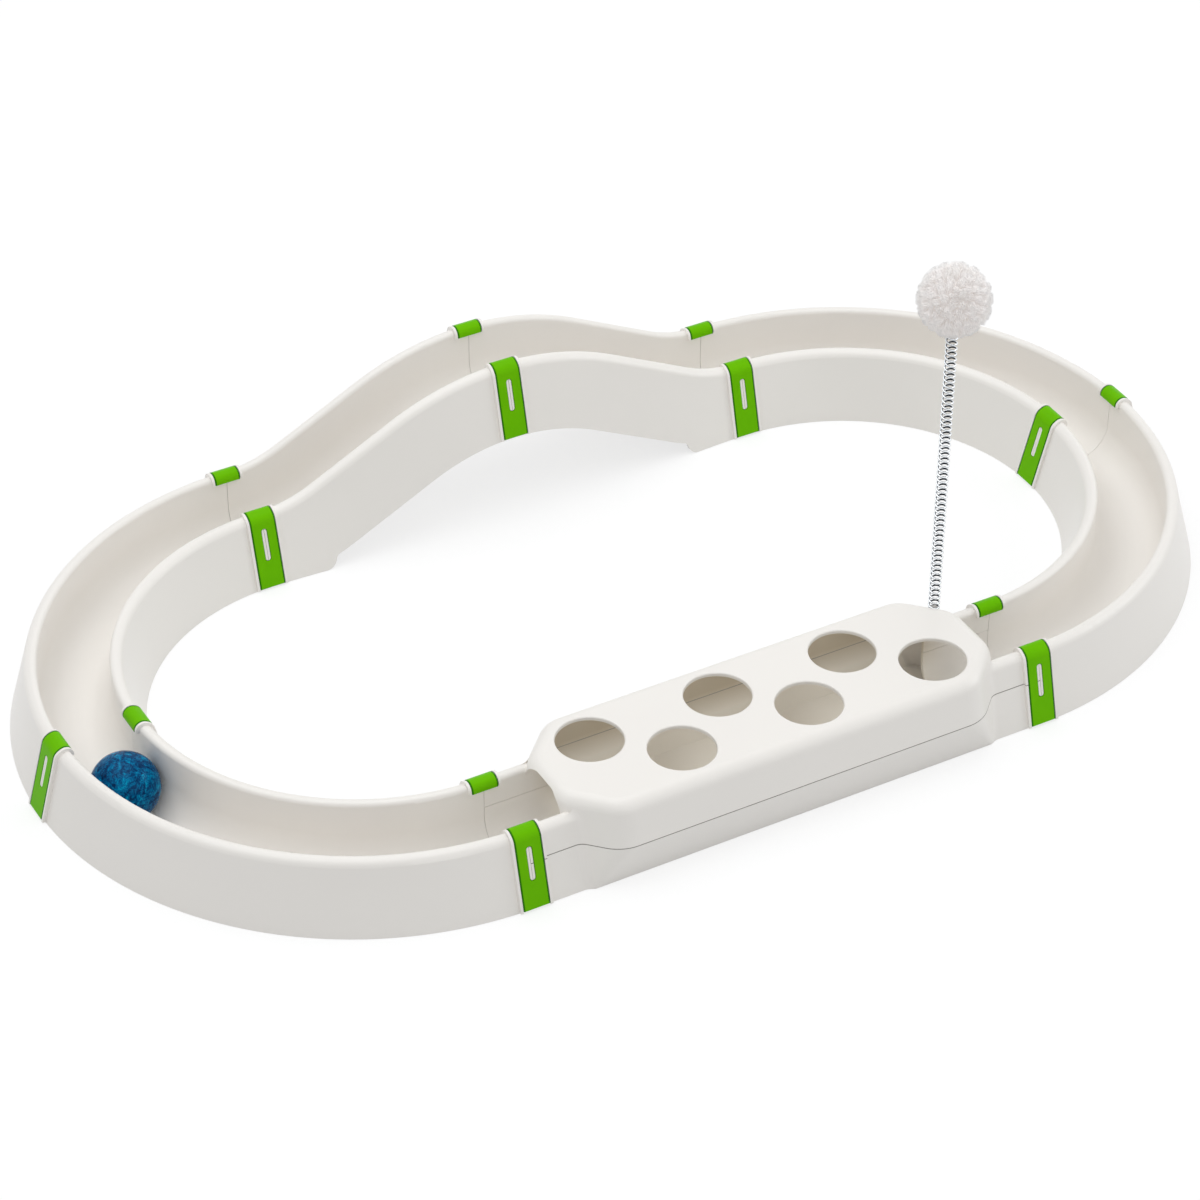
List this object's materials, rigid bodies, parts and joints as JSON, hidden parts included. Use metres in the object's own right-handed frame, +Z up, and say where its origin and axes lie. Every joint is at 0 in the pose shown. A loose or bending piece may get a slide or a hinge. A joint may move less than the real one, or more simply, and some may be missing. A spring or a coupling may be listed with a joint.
{
  "type": "cat ball track",
  "caption": "Oval cat ball track of clipped U-channel bends, hump ramps and a tunnel with paw holes, with a rolling ball and a pompom on a spring.",
  "frame": {"origin": "on the ground under the middle of the whole track", "axes": "+X along the tunnel to the teaser's end, +Y from the tunnel to the hill, +Z up"},
  "size_m": [0.7636, 0.4318, 0.2781],
  "materials": {
    "white_plastic": "satin moulded white",
    "green_plastic": "moulded bright green",
    "blue_plastic": "marbled translucent blue",
    "spring_steel": "bright drawn wire",
    "white_pile": "fluffy white pile"
  },
  "bodies": {
    "track": {"bend_back_right": "white_plastic", "bend_back_left": "white_plastic", "bend_front_left": "white_plastic", "bend_front_right": "white_plastic", "ramp_left": "white_plastic", "ramp_right": "white_plastic", "tunnel_tray": "white_plastic", "tunnel_cover": "white_plastic", "clip_front_left_inner": "green_plastic", "clip_front_left_outer": "green_plastic", "clip_front_right_inner": "green_plastic", "clip_front_right_outer": "green_plastic", "clip_right_inner": "green_plastic", "clip_right_outer": "green_plastic", "clip_back_right_inner": "green_plastic", "clip_back_right_outer": "green_plastic", "clip_hill_top_inner": "green_plastic", "clip_hill_top_outer": "green_plastic", "clip_back_left_inner": "green_plastic", "clip_back_left_outer": "green_plastic", "clip_left_inner": "green_plastic", "clip_left_outer": "green_plastic"},
    "ball": {"ball_upper_half": "blue_plastic", "ball_lower_half": "blue_plastic"},
    "stem": {"spring_foot": "white_plastic", "spring": "spring_steel"},
    "teaser": {"pompom_core": "white_plastic", "pompom": "white_pile"}
  },
  "joints": [
    {"name": "ball_travel", "type": "hinge", "parent": "track", "child": "ball", "pos_m": [-0.17, 0.00409, 0.024], "axis": [0, 0, 1], "range_deg": [-99, 79]},
    {"name": "teaser_turn", "type": "hinge", "parent": "track", "child": "stem", "pos_m": [0.146, -0.12141, 0.0275], "axis": [0, 0, 1], "continuous": true},
    {"name": "teaser_sway", "type": "hinge", "parent": "stem", "child": "teaser", "pos_m": [0.146, -0.12141, 0.09762], "axis": [0, 1, 0], "range_deg": [-55, 55], "stiffness_Nm_per_rad": 0.12, "deforming": ["spring"]}
  ]
}
